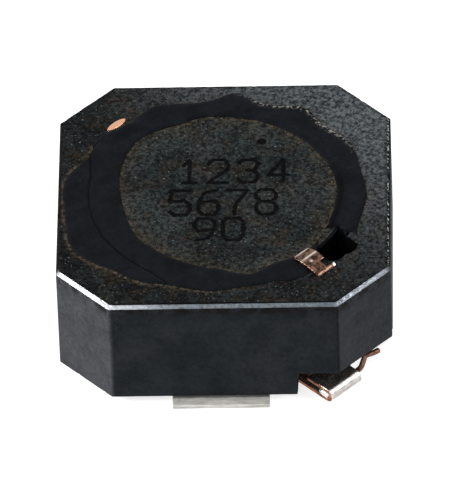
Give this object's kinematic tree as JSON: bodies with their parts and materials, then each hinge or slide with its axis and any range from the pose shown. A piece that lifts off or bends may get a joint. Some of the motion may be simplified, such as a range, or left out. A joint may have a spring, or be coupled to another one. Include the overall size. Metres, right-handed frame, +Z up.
{
  "type": "shielded smd inductor",
  "caption": "Octagonal shielded surface-mount power inductor: ferrite ring round a wound drum core, adhesive filled, with folded strip terminals and two solder pads.",
  "frame": {"origin": "centre of the footprint, on the plane of the solder pads' undersides", "axes": "+Z up from the board through the drum's axis; +Y runs from the front pad to the back pad; +X along the ring's other flat"},
  "size_m": [0.0104, 0.011, 0.0042],
  "materials": {
    "ring_ferrite": "satin",
    "drum_ferrite": "satin",
    "magnet_wire": "satin",
    "tinned_strip": "satin",
    "solder": "satin",
    "epoxy": "matte",
    "pad_glue": "matte"
  },
  "bodies": {
    "root": {"ring_core": "ring_ferrite", "drum_core": "drum_ferrite", "winding": "magnet_wire", "front_terminal": "tinned_strip", "back_terminal": "tinned_strip", "front_solder": "solder", "back_solder": "solder", "top_adhesive": "epoxy", "front_pad_glue": "pad_glue", "back_pad_glue": "pad_glue"}
  },
  "joints": []
}
